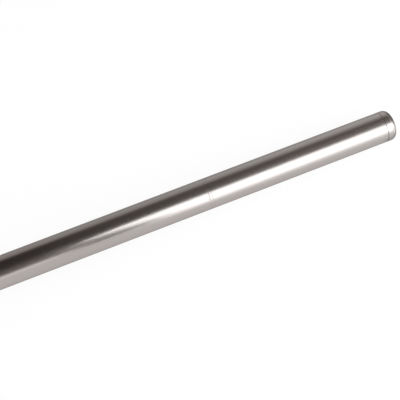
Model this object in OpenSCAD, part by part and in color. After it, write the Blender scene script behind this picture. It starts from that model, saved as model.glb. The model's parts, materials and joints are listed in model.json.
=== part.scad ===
// Polished round bar with a domed nose, in millimetres.
// It is one turned solid: straight shank, fine ring groove, short rim and low dome at the finished end,
// a pair of scribed rings further down the shank, and a square cut with a broken edge at the other end.
// It lies along X on the plane z = 0, with the nose towards +X and the origin under its middle.

/* [Bar] */
// Diameter of the round bar
bar_d = 25; // [16:0.5:40]
// Overall length, from the cut end to the tip of the nose
bar_len = 500; // [300:10:1000]

/* [Nose] */
// Radius of the low crown across the middle of the nose
crown_r = 24.5; // [22:0.1:60]
// Radius that rolls the crown over into the side of the rim
edge_r = 5; // [1:0.25:6]
// Straight rim between the middle of the ring groove and the start of the rounding
rim_len = 3.6; // [1:0.1:12]

/* [Ring groove] */
// Width of the groove at the bar's surface
groove_w = 0.35; // [0.1:0.05:1]
// Depth of the groove
groove_depth = 0.2; // [0.05:0.05:0.6]

/* [Scribed rings] */
// Distance from the ring groove back to the scribed ring nearer the nose
scribe_back = 151.6; // [40:0.1:180]
// Distance between the two scribed rings
scribe_gap = 2.4; // [1:0.1:10]
// Width of a scribed ring at the bar's surface
scribe_w = 0.12; // [0.05:0.01:0.4]
// Depth of a scribed ring
scribe_depth = 0.06; // [0.02:0.01:0.3]

/* [Cut end] */
// Width of the chamfer that breaks the edge of the cut end
end_chamfer = 0.8; // [0.2:0.1:3]

/* [Hidden] */
$fn = 180;

bar_r = bar_d / 2;

// The crown's arc is centred on the bar's axis and the edge's arc beside it. The two arcs meet where
// both share one radius line, which leans away from the axis by crown_angle.
crown_angle = asin((bar_r - edge_r) / (crown_r - edge_r));
crown_drop = (crown_r - edge_r) * cos(crown_angle);
nose_len = crown_r - crown_drop;

// Distances along the bar in the section, from the plane where the nose's rounding starts
cut_at = nose_len - bar_len;
groove_at = -rim_len;
scribe_at = groove_at - scribe_back;

// A slice of a disc of radius r about the origin, between the angles from and to
module sector(r, from, to) {
    reach = 2 * r;
    intersection() {
        circle(r = r);
        polygon([
            [0, 0],
            [reach * cos(from), reach * sin(from)],
            [reach * cos(to), reach * sin(to)]
        ]);
    }
}

// Half section of the shank and rim, with a core that runs on inside the nose
module shank_section() {
    polygon([
        [0, cut_at],
        [bar_r - end_chamfer, cut_at],
        [bar_r, cut_at + end_chamfer],
        [bar_r, 0],
        [bar_r - edge_r, edge_r / 2],
        [0, edge_r / 2]
    ]);
}

// Half section of the nose: the crown's arc over the middle and the tighter arc down to the rim
module nose_section() {
    translate([0, -crown_drop])
        sector(crown_r, 90 - crown_angle, 90);
    translate([bar_r - edge_r, 0])
        sector(edge_r, 0, 90);
}

// Half section of a V cut turned into the surface at a distance along the bar
module ring_cut(at, width, depth) {
    polygon([
        [bar_r - depth, at],
        [bar_r + depth, at - width],
        [bar_r + depth, at + width]
    ]);
}

// Half section of the whole bar, with its axis along Y
module rod_section() {
    difference() {
        union() {
            shank_section();
            nose_section();
        }
        ring_cut(groove_at, groove_w, groove_depth);
        for (step = [0, 1])
            ring_cut(scribe_at - step * scribe_gap, scribe_w, scribe_depth);
    }
}

module rod() {
    color("silver")
        translate([bar_len / 2 - nose_len, 0, bar_r])
            rotate([0, 90, 0])
                rotate_extrude()
                    rod_section();
}

rod();
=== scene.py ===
"""Looks of a polished round bar with a domed nose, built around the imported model.

Everything is in metres, in the model's own frame: the bar lies along X on the floor z = 0, its nose towards +X.
"""
import json
import math

import bpy
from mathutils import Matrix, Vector

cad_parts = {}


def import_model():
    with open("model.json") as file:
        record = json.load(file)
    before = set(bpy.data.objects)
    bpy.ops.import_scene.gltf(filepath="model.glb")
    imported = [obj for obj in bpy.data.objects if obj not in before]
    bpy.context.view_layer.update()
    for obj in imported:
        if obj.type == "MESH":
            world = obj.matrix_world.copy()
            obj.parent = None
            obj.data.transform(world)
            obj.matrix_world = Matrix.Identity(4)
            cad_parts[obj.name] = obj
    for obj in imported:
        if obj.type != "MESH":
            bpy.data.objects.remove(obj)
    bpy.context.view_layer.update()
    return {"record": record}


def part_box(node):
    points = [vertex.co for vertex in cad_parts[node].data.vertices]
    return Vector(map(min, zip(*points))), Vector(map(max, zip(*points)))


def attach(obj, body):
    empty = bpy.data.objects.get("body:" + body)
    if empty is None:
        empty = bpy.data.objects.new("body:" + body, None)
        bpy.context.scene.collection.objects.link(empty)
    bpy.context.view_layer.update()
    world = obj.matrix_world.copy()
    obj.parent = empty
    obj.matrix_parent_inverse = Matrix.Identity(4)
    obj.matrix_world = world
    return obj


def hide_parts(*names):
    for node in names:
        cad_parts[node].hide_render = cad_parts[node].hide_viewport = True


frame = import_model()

MM = 0.001
WHITE = (1, 1, 1, 1)

# The bar's own sizes, as in the part's source
shank_mount = next(m for m in frame["record"]["mounts"] if m["name"] == "shank")
BAR_R = shank_mount["dims"]["r_mm"] * MM
low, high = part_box("rod")
CUT_X = low.x
TIP_X = high.x
CROWN_R = 24.5 * MM
EDGE_R = 5.0 * MM
RIM_LEN = 3.6 * MM
GROOVE_W = 0.35 * MM
GROOVE_DEPTH = 0.2 * MM
SCRIBE_BACK = 151.6 * MM
SCRIBE_GAP = 2.4 * MM
SCRIBE_W = 0.12 * MM
SCRIBE_DEPTH = 0.06 * MM
END_CHAMFER = 0.8 * MM

crown_drop = math.sqrt((CROWN_R - EDGE_R) ** 2 - (BAR_R - EDGE_R) ** 2)
crown_angle = math.asin((BAR_R - EDGE_R) / (CROWN_R - EDGE_R))
ROUND_X = TIP_X - CROWN_R + crown_drop
GROOVE_X = ROUND_X - RIM_LEN
SCRIBE_X = GROOVE_X - SCRIBE_BACK

# How finely the turned surface is cut up
SIDES = 192
ARC_STEPS = 16
SHANK_STEP = 20 * MM
SUPPORT = 0.3 * MM

# Camera, from the perspective of the bar's two edges in the photograph
CAMERA_AZIMUTH = -23.062
CAMERA_ELEVATION = 63.687
CAMERA_DISTANCE = 0.86197
CAMERA_AIM = Vector((0.07991, -0.00282, BAR_R))
CAMERA_LENS = 99.55
SENSOR_WIDTH = 36.0

# Steel. The grain of a drawn and polished bar runs lengthwise, so it mirrors more sharply along than across.
STEEL_LIGHT = (0.45, 0.417, 0.402, 1)
STEEL_DARK = (0.43, 0.397, 0.381, 1)
STEEL_EDGE_TINT = (0.64, 0.62, 0.61, 1)
STEEL_ROUGHNESS = 0.235
STEEL_ROUGHNESS_SPREAD = 0.015
STEEL_ANISOTROPY = 0.62
GRAIN_LENGTH = 60 * MM
GRAIN_WIDTH = 1.6 * MM
GRAIN_DEPTH = 1.2e-6
CLOUD_SIZE = 14 * MM
FACING_PITCH = 0.35 * MM
FACING_DEPTH = 1.0e-6
# Painted shade in the groove and on the scribed rings, and real dirt in the nick, all share this dark colour and
# roughness.
SHADE_AND_DIRT_COLOUR = (0.1, 0.085, 0.08, 1)
SHADE_AND_DIRT_ROUGHNESS = 0.25
GROOVE_SHADE_W = 1.0 * MM
SCRIBE_SHADE_W = 0.6 * MM
SECOND_SCRIBE_SHADE_W = 1.25 * MM
SHADE_PATCH_SIZE = 2.5 * MM
GROOVE_SHADE = 0.45
GROOVE_FRONT_SHADE = 0.5
GROOVE_FRONT_ANGLE = 14.0
GROOVE_FRONT_REACH = 8.5 * MM
GROOVE_UNSHADED_ANGLE = 53.0
GROOVE_UNSHADED_REACH = 3.4 * MM
SCRIBE_SHADE = 0.27
NICK_DIRT = 0.22

# The band round the bar where the scribed rings carry painted shade, kept to where the highlight falls, and the real
# nick beside it. Angles are in degrees above the front horizon.
SCRIBE_SHADE_ANGLE = 58.0
SCRIBE_SHADE_REACH = 6.2 * MM
NICK_X = 84.6 * MM
NICK_ANGLE = 45.0
NICK_R = 0.7 * MM

# Floor and even light
FLOOR_COLOUR = (0.9, 0.9, 0.9, 1)
FLOOR_SIZE = 8.0
FLOOR_WHITE_SHARE = 0.9
FLOOR_MIRRORED_SHARE = 0.87
FILL_STRENGTH = 0.88

# The studio's dim parts are warmer than its bright ones
DIM_COLOUR = (1.085, 0.962, 0.9, 1)
DIM_STRENGTH = 0.25
LIT_STRENGTH = 0.6

# Studio panels, bent round the bar's axis. Elevations are in degrees above the front horizon.
PANEL_STEP = 1.0
PANEL_COLUMNS = 60
PANEL_ROWS = 12
FLOOR_GAP = 2 * MM
BOX_DISTANCE = 0.6
BOX_TOP = 68.1
BOX_TOP_FROM = 0.17
BOX_TOP_RISE = 15.0
BOX_TOP_MOST = 74.0
BOX_TOP_FADE = 1.6
BOX_FULL = 22.3
BOX_CORNER_DROP = 6.3
BOX_CORNER_REACH = 0.08
BOX_TIP_GAIN = 1.7
BOX_TIP_BRIGHTEST = 0.02
BOX_TIP_REACH = 0.08
BOX_LEFT_AT_TOP = 0.024
BOX_LEFT_AT_FOOT = 0.183
BOX_TIP = -0.006
BOX_TIP_SLOPE = 0.0042
BOX_LEFT_MOST = 0.13
BOX_LEFT_FADE = 0.004
BOX_COLOUR = (0.975, 1.0, 1.01, 1)
BOX_RIGHT = 2.2
BOX_STRENGTH = 2.97
BOX_FOOT_STRENGTH = 1.06
SKIRT_DISTANCE = 0.61
SKIRT_LEFT = 0.0119
SKIRT_RIGHT = 0.3
SKIRT_FOOT = 21.2
SKIRT_STRENGTH = 0.03
WINDOW_FOOT = 19.5
WINDOW_STRENGTH = 1.41
FLAG_DISTANCE = 0.85
PANEL_LEFT = -1.6
PANEL_RIGHT = 2.6
CEILING_FRONT = 35.9
CEILING_BACK = 144.0
CEILING_BACK_FROM = 0.05
CEILING_BACK_RISE = -16.0
CEILING_BACK_TO = 0.36
CEILING_BACK_FADE_LEFT = 0.5
CEILING_BACK_FADE_RIGHT = 16.0
CEILING_DARK = 0.035
CEILING_PALE = 0.31
CEILING_CURVE = 0.9
CEILING_FRONT_LIFT = 0.17
CEILING_DIP = 0.42
CEILING_DIP_AT = 119.0
CEILING_DIP_REACH = 16.0
CEILING_DIP_LEFT = 0.1
CEILING_DIP_RIGHT = 0.5
BACKDROP_TOP = 0.605
BACKDROP_FOOT = 1.074
BACKDROP_FLOOR = 1.01
BACKDROP_LEFT_SHARE = 0.516
BACKDROP_NEAR = 0.035
SHADE_LEFT = -0.07
SHADE_RIGHT = 0.857

# The glow on the floor in front of the bar, brighter with distance
SHEEN_NEAR = 0.08
SHEEN_FAR = 0.6
SHEEN_LEFT = 0.12
SHEEN_STRENGTH = 1.57
SHEEN_DROP = 0.6

# The dark flag round the nose's far side, whose floor part is a painted shadow of the nose, the bright card on its
# near side and the shade under it.
# Azimuths are in degrees from the bar's axis about the nose's own centre.
NOSE_FAR = 150 * MM
NOSE_SHADOW_NEAR = 16 * MM
NOSE_FLAG_HEIGHT = 100 * MM
NOSE_FLAG_AND_SHADOW_FROM = 3.0
NOSE_FLAG_AND_SHADOW_TO = 62.0
NOSE_FLAG_AND_SHADOW_DARK = 0.2
NOSE_FLAG_AND_SHADOW_DARK_AT = 32.0
NOSE_FLAG_AND_SHADOW_FRONT = 0.32
NOSE_FLAG_AND_SHADOW_BACK = 0.52
NOSE_CARD_NEAR = 32 * MM
NOSE_CARD_FROM = -48.0
NOSE_CARD_TO = -3.0
NOSE_CARD_STRENGTH = 1.8
NOSE_SHADE_NEAR = 12 * MM
NOSE_SHADE_FAR = 28 * MM
NOSE_SHADE_FROM = -95.0
NOSE_SHADE_TO = 6.0
NOSE_SHADE_DARK = 0.3
NOSE_SHADE_PALE = 0.8
NOSE_SHADE_PALE_TO = -75.0
NOSE_SHADE_DARK_FROM = -38.0

# Places of the colour sockets on Blender's Mix node
MIX_A = 6
MIX_B = 7
MIX_RESULT = 2


class Graph:
    """A node tree that is filled one call per node, with links or plain values for its inputs."""

    def __init__(self, tree):
        self.tree = tree
        tree.nodes.clear()

    def add(self, kind, inputs=None, **settings):
        node = self.tree.nodes.new("ShaderNode" + kind)
        for name, value in settings.items():
            setattr(node, name, value)
        for socket, value in (inputs or {}).items():
            if isinstance(value, bpy.types.NodeSocket):
                self.tree.links.new(value, node.inputs[socket])
            else:
                node.inputs[socket].default_value = value
        return node

    def math(self, operation, *values):
        return self.add("Math", dict(enumerate(values)), operation=operation).outputs["Value"]

    def map_range(self, value, from_min, from_max, to_min=0.0, to_max=1.0):
        inputs = {
            "Value": value, "From Min": from_min, "From Max": from_max, "To Min": to_min, "To Max": to_max,
        }
        return self.add("MapRange", inputs).outputs["Result"]

    def mix(self, factor, a, b):
        return self.add("Mix", {0: factor, MIX_A: a, MIX_B: b}, data_type="RGBA").outputs[MIX_RESULT]

    def noise(self, place, detail, roughness):
        inputs = {"Vector": place, "Scale": 1.0, "Detail": detail, "Roughness": roughness}
        return self.add("TexNoise", inputs).outputs["Fac"]

    def scaled(self, place, scale):
        return self.add("Mapping", {"Vector": place, "Scale": scale}).outputs["Vector"]

    def split(self, vector, axis):
        return self.add("SeparateXYZ", {"Vector": vector}).outputs[axis]

    def seen_directly(self):
        """Two values: 1 for rays from the camera, and 1 for rays off metal or through glass."""
        path = self.add("LightPath").outputs
        return path["Is Camera Ray"], self.math("MAXIMUM", path["Is Glossy Ray"], path["Is Transmission Ray"])


def new_material(name):
    """An empty node material, as (material, graph)."""
    material = bpy.data.materials.new(name)
    material.use_nodes = True
    return material, Graph(material.node_tree)


def new_object(name, verts, faces):
    """A mesh object in the scene."""
    mesh = bpy.data.meshes.new(name)
    mesh.from_pydata(verts, [], faces)
    obj = bpy.data.objects.new(name, mesh)
    bpy.context.scene.collection.objects.link(obj)
    return obj


def camera():
    """The photograph's viewpoint."""
    azimuth = math.radians(CAMERA_AZIMUTH)
    elevation = math.radians(CAMERA_ELEVATION)
    back = Vector((
        math.sin(azimuth) * math.cos(elevation),
        -math.cos(azimuth) * math.cos(elevation),
        math.sin(elevation),
    ))
    data = bpy.data.cameras.new("camera")
    data.lens = CAMERA_LENS
    data.sensor_width = SENSOR_WIDTH
    data.clip_start = 0.01
    data.clip_end = 50
    obj = bpy.data.objects.new("camera", data)
    bpy.context.scene.collection.objects.link(obj)
    obj.location = CAMERA_AIM + back * CAMERA_DISTANCE
    obj.rotation_mode = "QUATERNION"
    obj.rotation_quaternion = (-back).to_track_quat("-Z", "Y")
    bpy.context.scene.camera = obj


def around(angle, x=0.0):
    """The point on the bar's surface at an angle in degrees above the front horizon."""
    angle = math.radians(angle)
    return x, -BAR_R * math.cos(angle), BAR_R + BAR_R * math.sin(angle)


def ring_mask(graph, x, centre, width):
    """1 in the middle of a ring at a place along the bar, falling to 0 at its two sides."""
    offset = graph.math("ABSOLUTE", graph.math("SUBTRACT", x, centre))
    return graph.map_range(offset, width / 2, width / 6)


def near(graph, place, point, reach):
    """1 at a point, falling to 0 at a distance from it."""
    offset = graph.add("VectorMath", {0: place, 1: point}, operation="DISTANCE").outputs["Value"]
    return graph.map_range(offset, reach, reach / 2)


def cross_section(graph, place):
    """A place's own cross-section coordinates, with its distance along the bar left out."""
    inputs = {"Y": graph.split(place, "Y"), "Z": graph.split(place, "Z")}
    return graph.add("CombineXYZ", inputs).outputs["Vector"]


def facing_marks(graph, place):
    """The height of the fine rings that a facing tool left on the cut end, and 0 elsewhere."""
    axis = {0: cross_section(graph, place), 1: (0, 0, BAR_R)}
    radius = graph.add("VectorMath", axis, operation="DISTANCE").outputs["Value"]
    wave = graph.math("SINE", graph.math("MULTIPLY", radius, 2 * math.pi / FACING_PITCH))
    on_end = graph.math("LESS_THAN", graph.split(place, "X"), CUT_X + END_CHAMFER / 4)
    return graph.math("MULTIPLY", graph.math("MULTIPLY", wave, on_end), FACING_DEPTH)


def ring_shade_and_nick_dirt(graph, place):
    """Painted shade in the groove, darker on its lower front and left out where the highlight falls, painted shade on
    the scribed rings where the highlight falls, and real dirt in a nick.
    """
    x = graph.split(place, "X")
    across = cross_section(graph, place)
    patches = graph.noise(graph.scaled(place, (1 / SHADE_PATCH_SIZE,) * 3), 2.0, 0.6)
    patchy = graph.map_range(patches, 0.3, 0.6, 0.4, 1.0)

    # Painted shade on the scribed rings, only in the band where the highlight falls.
    scribe_shade_band = graph.math("MULTIPLY", near(graph, across, around(SCRIBE_SHADE_ANGLE), SCRIBE_SHADE_REACH), SCRIBE_SHADE)
    first = ring_mask(graph, x, SCRIBE_X, SCRIBE_SHADE_W)
    second = ring_mask(graph, x, SCRIBE_X - SCRIBE_GAP, SECOND_SCRIBE_SHADE_W)
    scribe_shade = graph.math("MULTIPLY", graph.math("MAXIMUM", first, second), scribe_shade_band)

    # Painted shade in the groove: darker on its lower front, and left out where the highlight falls.
    front = near(graph, across, around(GROOVE_FRONT_ANGLE), GROOVE_FRONT_REACH)
    unshaded = near(graph, across, around(GROOVE_UNSHADED_ANGLE), GROOVE_UNSHADED_REACH)
    left = graph.math("SUBTRACT", 1.0, unshaded)
    level = graph.math("MULTIPLY", graph.math("MULTIPLY_ADD", front, GROOVE_FRONT_SHADE, GROOVE_SHADE), left)
    groove_shade = graph.math("MULTIPLY", ring_mask(graph, x, GROOVE_X, GROOVE_SHADE_W), level)

    nick = graph.math("MULTIPLY", near(graph, place, around(NICK_ANGLE, NICK_X), NICK_R), NICK_DIRT)
    rings = graph.math("MULTIPLY", graph.math("MAXIMUM", scribe_shade, groove_shade), patchy)
    return graph.math("MAXIMUM", rings, nick)


def steel():
    """Drawn and polished stainless steel, with a lengthwise grain, painted shade in its fine rings and dirt in a
    nick.
    """
    material, graph = new_material("polished_steel")
    place = graph.add("TexCoord").outputs["Object"]
    # Painted shade in the rings and real dirt in the nick darken the colour and roughen the steel.
    shade_and_dirt = ring_shade_and_nick_dirt(graph, place)

    grain_place = graph.scaled(place, (1 / GRAIN_LENGTH, 1 / GRAIN_WIDTH, 1 / GRAIN_WIDTH))
    grain = graph.noise(grain_place, 3.0, 0.6)
    clouds = graph.noise(graph.scaled(place, (0.5 / CLOUD_SIZE, 1 / CLOUD_SIZE, 1 / CLOUD_SIZE)), 2.0, 0.5)
    low_polish = STEEL_ROUGHNESS - STEEL_ROUGHNESS_SPREAD
    high_polish = STEEL_ROUGHNESS + STEEL_ROUGHNESS_SPREAD
    polish = graph.map_range(grain, 0.3, 0.7, low_polish, high_polish)
    height = graph.math("MULTIPLY_ADD", grain, GRAIN_DEPTH, facing_marks(graph, place))
    bump = graph.add("Bump", {"Strength": 1.0, "Distance": 1.0, "Height": height})
    tangent = graph.add("Tangent", direction_type="RADIAL", axis="X")
    shader = graph.add("BsdfPrincipled", {
        "Base Color": graph.mix(shade_and_dirt, graph.mix(clouds, STEEL_DARK, STEEL_LIGHT), SHADE_AND_DIRT_COLOUR),
        "Metallic": 1.0,
        "Roughness": graph.math("MULTIPLY_ADD", shade_and_dirt, SHADE_AND_DIRT_ROUGHNESS, polish),
        "Specular Tint": STEEL_EDGE_TINT,
        "Anisotropic": STEEL_ANISOTROPY,
        "Tangent": tangent.outputs["Tangent"],
        "Normal": bump.outputs["Normal"],
    })
    graph.add("OutputMaterial", {"Surface": shader.outputs["BSDF"]})
    return material


def arc(centre_x, centre_r, radius, first, last):
    """Rings along an arc, as (x, radius). Angles are in radians from the bar's axis."""
    rings = []
    for step in range(ARC_STEPS + 1):
        angle = first + (last - first) * step / ARC_STEPS
        rings.append((centre_x + radius * math.cos(angle), centre_r + radius * math.sin(angle)))
    return rings


def straight(start, end):
    """Rings that cut a long straight stretch into even steps, without its two ends."""
    steps = max(1, round((end - start) / SHANK_STEP))
    return [(start + (end - start) * step / steps, BAR_R, False) for step in range(1, steps)]


def profile():
    """The bar's half section from cut end to tip, as rings (x, radius, sharp)."""
    rings = [
        (CUT_X, BAR_R - END_CHAMFER, True),
        (CUT_X + END_CHAMFER, BAR_R, True),
    ]
    cuts = [
        (SCRIBE_X - SCRIBE_GAP, SCRIBE_W, SCRIBE_DEPTH),
        (SCRIBE_X, SCRIBE_W, SCRIBE_DEPTH),
        (GROOVE_X, GROOVE_W, GROOVE_DEPTH),
    ]
    at = CUT_X + END_CHAMFER
    for middle, width, depth in cuts:
        rings += straight(at, middle - width / 2)
        rings += [
            (middle - width / 2, BAR_R, True),
            (middle, BAR_R - depth, True),
            (middle + width / 2, BAR_R, True),
        ]
        at = middle + width / 2
    rings += straight(at, ROUND_X - SUPPORT)
    rings.append((ROUND_X - SUPPORT, BAR_R, False))
    edge = arc(ROUND_X, BAR_R - EDGE_R, EDGE_R, math.pi / 2, crown_angle)
    crown = arc(TIP_X - CROWN_R, 0, CROWN_R, crown_angle, 0)
    rings += [(x, r, False) for x, r in edge + crown[1:-1]]
    return rings


def lathe(name, rings):
    """Turns a half section about the bar's axis into a closed mesh object."""
    verts = []
    for x, r, _ in rings:
        for side in range(SIDES):
            angle = 2 * math.pi * side / SIDES
            verts.append((x, r * math.cos(angle), BAR_R + r * math.sin(angle)))
    faces = []
    for ring in range(len(rings) - 1):
        for side in range(SIDES):
            a = ring * SIDES + side
            b = ring * SIDES + (side + 1) % SIDES
            faces.append((a, b, b + SIDES, a + SIDES))
    cut_centre = len(verts)
    verts.append((CUT_X, 0, BAR_R))
    tip = len(verts)
    verts.append((TIP_X, 0, BAR_R))
    last = (len(rings) - 1) * SIDES
    for side in range(SIDES):
        following = (side + 1) % SIDES
        faces.append((following, side, cut_centre))
        faces.append((last + side, last + following, tip))
    obj = new_object(name, verts, faces)
    mesh = obj.data
    mesh.polygons.foreach_set("use_smooth", [True] * len(mesh.polygons))
    for edge in mesh.edges:
        a, b = (v // SIDES for v in edge.vertices)
        if a == b and a < len(rings):
            edge.use_edge_sharp = rings[a][2]
    mesh.update()
    return obj


def polished_bar():
    """The whole bar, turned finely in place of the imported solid's coarse mesh."""
    bar = lathe("polished_bar", profile())
    bar.data.materials.append(steel())
    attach(bar, "root")
    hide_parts("rod")


def share(value, start, end):
    """How far a value is from start to end, held between 0 and 1."""
    return min(max((value - start) / (end - start), 0.0), 1.0)


def blend(start, end, amount):
    """The value that lies a share of the way from start to end."""
    return start + (end - start) * amount


def leaning(start, slope, x, x_start):
    """A panel edge's elevation at a place along the studio, where the edge leans."""
    return start + slope * (x - x_start)


def bent_panel(name, first, last, distance, left, right, strength, colour=WHITE, lights_floor=False):
    """A panel bent round the bar's axis. Its left edge is a function of elevation, its strength of x too."""
    count = max(1, round(abs(last - first) / PANEL_STEP))
    grid = []
    for step in range(count + 1):
        elevation = blend(first, last, step / count)
        angle = math.radians(elevation)
        y = -distance * math.cos(angle)
        z = BAR_R + distance * math.sin(angle)
        start = left(elevation)
        row = []
        for column in range(PANEL_COLUMNS + 1):
            x = blend(start, right, (column / PANEL_COLUMNS) ** 2)
            row.append((x, y, z, strength(x, elevation)))
        grid.append(row)
    panel(name, grid, colour, lights_floor)


def panel(name, grid, colour=WHITE, lights_floor=False):
    """A glowing studio panel that the camera doesn't see, from rows of points (x, y, z, strength)."""
    points = [point for row in grid for point in row]
    width = len(grid[0])
    faces = []
    for row in range(len(grid) - 1):
        for column in range(width - 1):
            a = row * width + column
            faces.append((a, a + 1, a + 1 + width, a + width))
    obj = new_object(name, [point[:3] for point in points], faces)
    glow = obj.data.attributes.new("glow", "FLOAT", "POINT")
    glow.data.foreach_set("value", [point[3] for point in points])
    obj.data.materials.append(panel_glow(name, colour))
    obj.visible_camera = False
    obj.visible_shadow = False
    obj.visible_diffuse = lights_floor


def panel_glow(name, colour):
    """A glow whose strength comes from the panel's own glow values."""
    material, graph = new_material(name)
    glow = graph.add("Attribute", attribute_name="glow").outputs["Fac"]
    lit = graph.map_range(glow, DIM_STRENGTH, LIT_STRENGTH)
    emission = graph.add("Emission", {"Color": graph.mix(lit, DIM_COLOUR, colour), "Strength": glow})
    graph.add("OutputMaterial", {"Surface": emission.outputs["Emission"]})
    return material


def softbox():
    """The long light in front of and above the bar, with a leaning left edge."""
    def left(elevation):
        side = blend(BOX_LEFT_AT_FOOT, BOX_LEFT_AT_TOP, elevation / BOX_TOP)
        tip = BOX_TIP + BOX_TIP_SLOPE * (BOX_TOP - elevation)
        return min(side, tip, BOX_LEFT_MOST)

    def strength(x, elevation):
        level = blend(BOX_FOOT_STRENGTH, BOX_STRENGTH, share(elevation, 0, BOX_FULL))
        edge = min(leaning(BOX_TOP, BOX_TOP_RISE, max(x, BOX_TOP_FROM), BOX_TOP_FROM), BOX_TOP_MOST)
        edge -= BOX_CORNER_DROP * share(x, BOX_LEFT_AT_TOP + BOX_CORNER_REACH, BOX_LEFT_AT_TOP)
        gain = BOX_TIP_GAIN * share(x, BOX_TIP_REACH, BOX_TIP_BRIGHTEST)
        top = share(elevation, edge, edge - BOX_TOP_FADE)
        side = share(x, left(elevation), left(elevation) + BOX_LEFT_FADE)
        return level * top * side * (1 + gain)

    bent_panel(
        "softbox", 0, BOX_TOP_MOST, BOX_DISTANCE, left, BOX_RIGHT, strength, BOX_COLOUR, lights_floor=True,
    )


def beside_softbox():
    """The dark skirt beside the softbox's leaning edge, and the bright window further left."""
    bent_panel(
        "dark_skirt", SKIRT_FOOT, CEILING_FRONT, SKIRT_DISTANCE, lambda elevation: SKIRT_LEFT, SKIRT_RIGHT,
        lambda x, elevation: SKIRT_STRENGTH,
    )
    bent_panel(
        "window", WINDOW_FOOT, CEILING_FRONT, SKIRT_DISTANCE, lambda elevation: PANEL_LEFT, SKIRT_LEFT,
        lambda x, elevation: WINDOW_STRENGTH,
    )


def shade(x):
    """How far a place along the studio is towards its paler right side."""
    return share(x, SHADE_LEFT, SHADE_RIGHT)


def overhead():
    """The dark ceiling that gives the bar its dark band, and the grey wall behind that its upper edge mirrors."""
    def strength(x, elevation):
        back = leaning(CEILING_BACK, CEILING_BACK_RISE, min(x, CEILING_BACK_TO), CEILING_BACK_FROM)
        wall = blend(BACKDROP_TOP, BACKDROP_FOOT, share(elevation, back, 180)) * backdrop_side(x)
        level = blend(CEILING_DARK, CEILING_PALE, shade(x) ** CEILING_CURVE)
        dip = share(abs(elevation - CEILING_DIP_AT), CEILING_DIP_REACH, CEILING_DIP_REACH / 2)
        dip *= share(x, CEILING_DIP_LEFT, CEILING_DIP_RIGHT)
        ceiling = level * (1 - CEILING_DIP * dip) + CEILING_FRONT_LIFT * share(elevation, 90, CEILING_FRONT)
        fade = blend(CEILING_BACK_FADE_LEFT, CEILING_BACK_FADE_RIGHT, shade(x))
        return blend(ceiling, wall, share(elevation, back - fade, back + fade))

    bent_panel("overhead", CEILING_FRONT, 180, FLAG_DISTANCE, lambda elevation: PANEL_LEFT, PANEL_RIGHT, strength)


def backdrop_side(x):
    """How bright the backdrop is at a place along the studio, against its right side."""
    return blend(BACKDROP_LEFT_SHARE, 1.0, shade(x))


def floor_behind():
    """The grey floor between the bar and the wall behind it."""
    flat_panel("grey_floor", PANEL_LEFT, FLAG_DISTANCE, BACKDROP_NEAR, lambda x, y: BACKDROP_FLOOR * backdrop_side(x))


def flat_panel(name, left, far_y, near_y, strength):
    """A panel that lies just over the floor. Its strength is a function of x and y."""
    grid = []
    for step in range(PANEL_ROWS + 1):
        y = blend(far_y, near_y, step / PANEL_ROWS)
        row = []
        for column in range(PANEL_COLUMNS + 1):
            x = blend(left, PANEL_RIGHT, (column / PANEL_COLUMNS))
            row.append((x, y, FLOOR_GAP, strength(x, y)))
        grid.append(row)
    panel(name, grid)


def floor_sheen():
    """The softbox's sheen on the floor in front of the bar, which grows with distance."""
    def strength(x, y):
        return SHEEN_STRENGTH + SHEEN_DROP * SHEEN_NEAR / y

    flat_panel("floor_sheen", SHEEN_LEFT, -SHEEN_FAR, -SHEEN_NEAR, strength)


def round_nose(name, first, last, profile, strength):
    """A panel round the nose between two azimuths, from a profile of (radius, height) and a strength by azimuth."""
    steps = round(abs(last - first) / PANEL_STEP)
    grid = []
    for radius, height in profile:
        row = []
        for step in range(steps + 1):
            azimuth = blend(first, last, step / steps)
            x = ROUND_X + radius * math.cos(math.radians(azimuth))
            y = radius * math.sin(math.radians(azimuth))
            row.append((x, y, height, strength(azimuth)))
        grid.append(row)
    panel(name, grid)


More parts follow.
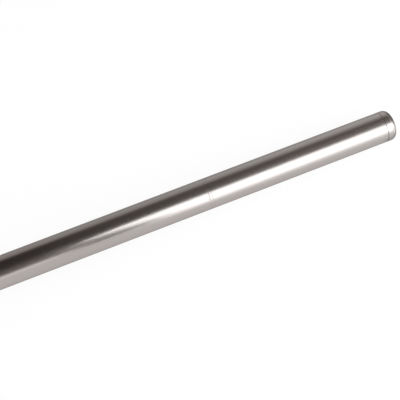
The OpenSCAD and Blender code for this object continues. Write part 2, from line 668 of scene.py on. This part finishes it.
def nose_cards():
    """The dark flag that the nose mirrors on its far side, whose floor part is a painted shadow of the nose, the
    bright card on its near side and its shade.
    """
    def flag_and_shadow_strength(azimuth):
        front = (NOSE_FLAG_AND_SHADOW_FRONT - NOSE_FLAG_AND_SHADOW_DARK) * share(azimuth, NOSE_FLAG_AND_SHADOW_DARK_AT, NOSE_FLAG_AND_SHADOW_FROM)
        back = (NOSE_FLAG_AND_SHADOW_BACK - NOSE_FLAG_AND_SHADOW_DARK) * share(azimuth, NOSE_FLAG_AND_SHADOW_DARK_AT, NOSE_FLAG_AND_SHADOW_TO)
        return NOSE_FLAG_AND_SHADOW_DARK + front + back

    def shade_strength(azimuth):
        darkness = share(azimuth, NOSE_SHADE_PALE_TO, NOSE_SHADE_DARK_FROM)
        return blend(NOSE_SHADE_PALE, NOSE_SHADE_DARK, darkness)

    near_floor = 2 * FLOOR_GAP
    # The flag's floor part is a painted shadow of the nose; its far wall is the flag.
    flag_and_shadow = [(NOSE_SHADOW_NEAR, near_floor), (NOSE_FAR, near_floor), (NOSE_FAR, NOSE_FLAG_HEIGHT)]
    round_nose("nose_flag_and_shadow", NOSE_FLAG_AND_SHADOW_FROM, NOSE_FLAG_AND_SHADOW_TO, flag_and_shadow, flag_and_shadow_strength)
    card = [(NOSE_CARD_NEAR, near_floor), (NOSE_FAR, near_floor)]
    round_nose("nose_card", NOSE_CARD_FROM, NOSE_CARD_TO, card, lambda azimuth: NOSE_CARD_STRENGTH)
    under = [(NOSE_SHADE_NEAR, FLOOR_GAP / 2), (NOSE_SHADE_FAR, FLOOR_GAP / 2)]
    round_nose("nose_shade", NOSE_SHADE_FROM, NOSE_SHADE_TO, under, shade_strength)


def floor():
    """A plain pale floor. It looks nearly white from the camera and in the metal, and keeps the bar's shadow."""
    half = FLOOR_SIZE / 2
    corners = [(-half, -half, 0), (half, -half, 0), (half, half, 0), (-half, half, 0)]
    obj = new_object("floor", corners, [(0, 1, 2, 3)])
    material, graph = new_material("pale_floor")
    seen, mirrored = graph.seen_directly()
    in_mirror = graph.math("MULTIPLY", mirrored, FLOOR_MIRRORED_SHARE)
    white_share = graph.math("MULTIPLY_ADD", seen, FLOOR_WHITE_SHARE, in_mirror)
    paint = graph.add("BsdfDiffuse", {"Color": FLOOR_COLOUR})
    white = graph.add("Emission")
    mix = graph.add("MixShader", {0: white_share, 1: paint.outputs["BSDF"], 2: white.outputs["Emission"]})
    graph.add("OutputMaterial", {"Surface": mix.outputs["Shader"]})
    obj.data.materials.append(material)


def world():
    """Even light all round, and a white background for the camera and for reflections."""
    studio = bpy.data.worlds.new("studio")
    bpy.context.scene.world = studio
    studio.use_nodes = True
    graph = Graph(studio.node_tree)
    seen, mirrored = graph.seen_directly()
    strength = graph.map_range(graph.math("MAXIMUM", seen, mirrored), 0.0, 1.0, FILL_STRENGTH, 1.0)
    background = graph.add("Background", {"Color": (1, 1, 1, 1), "Strength": strength})
    graph.add("OutputWorld", {"Surface": background.outputs["Background"]})


bpy.context.scene.view_settings.view_transform = "Standard"
camera()
polished_bar()
floor()
world()
softbox()
beside_softbox()
overhead()
floor_behind()
floor_sheen()
nose_cards()
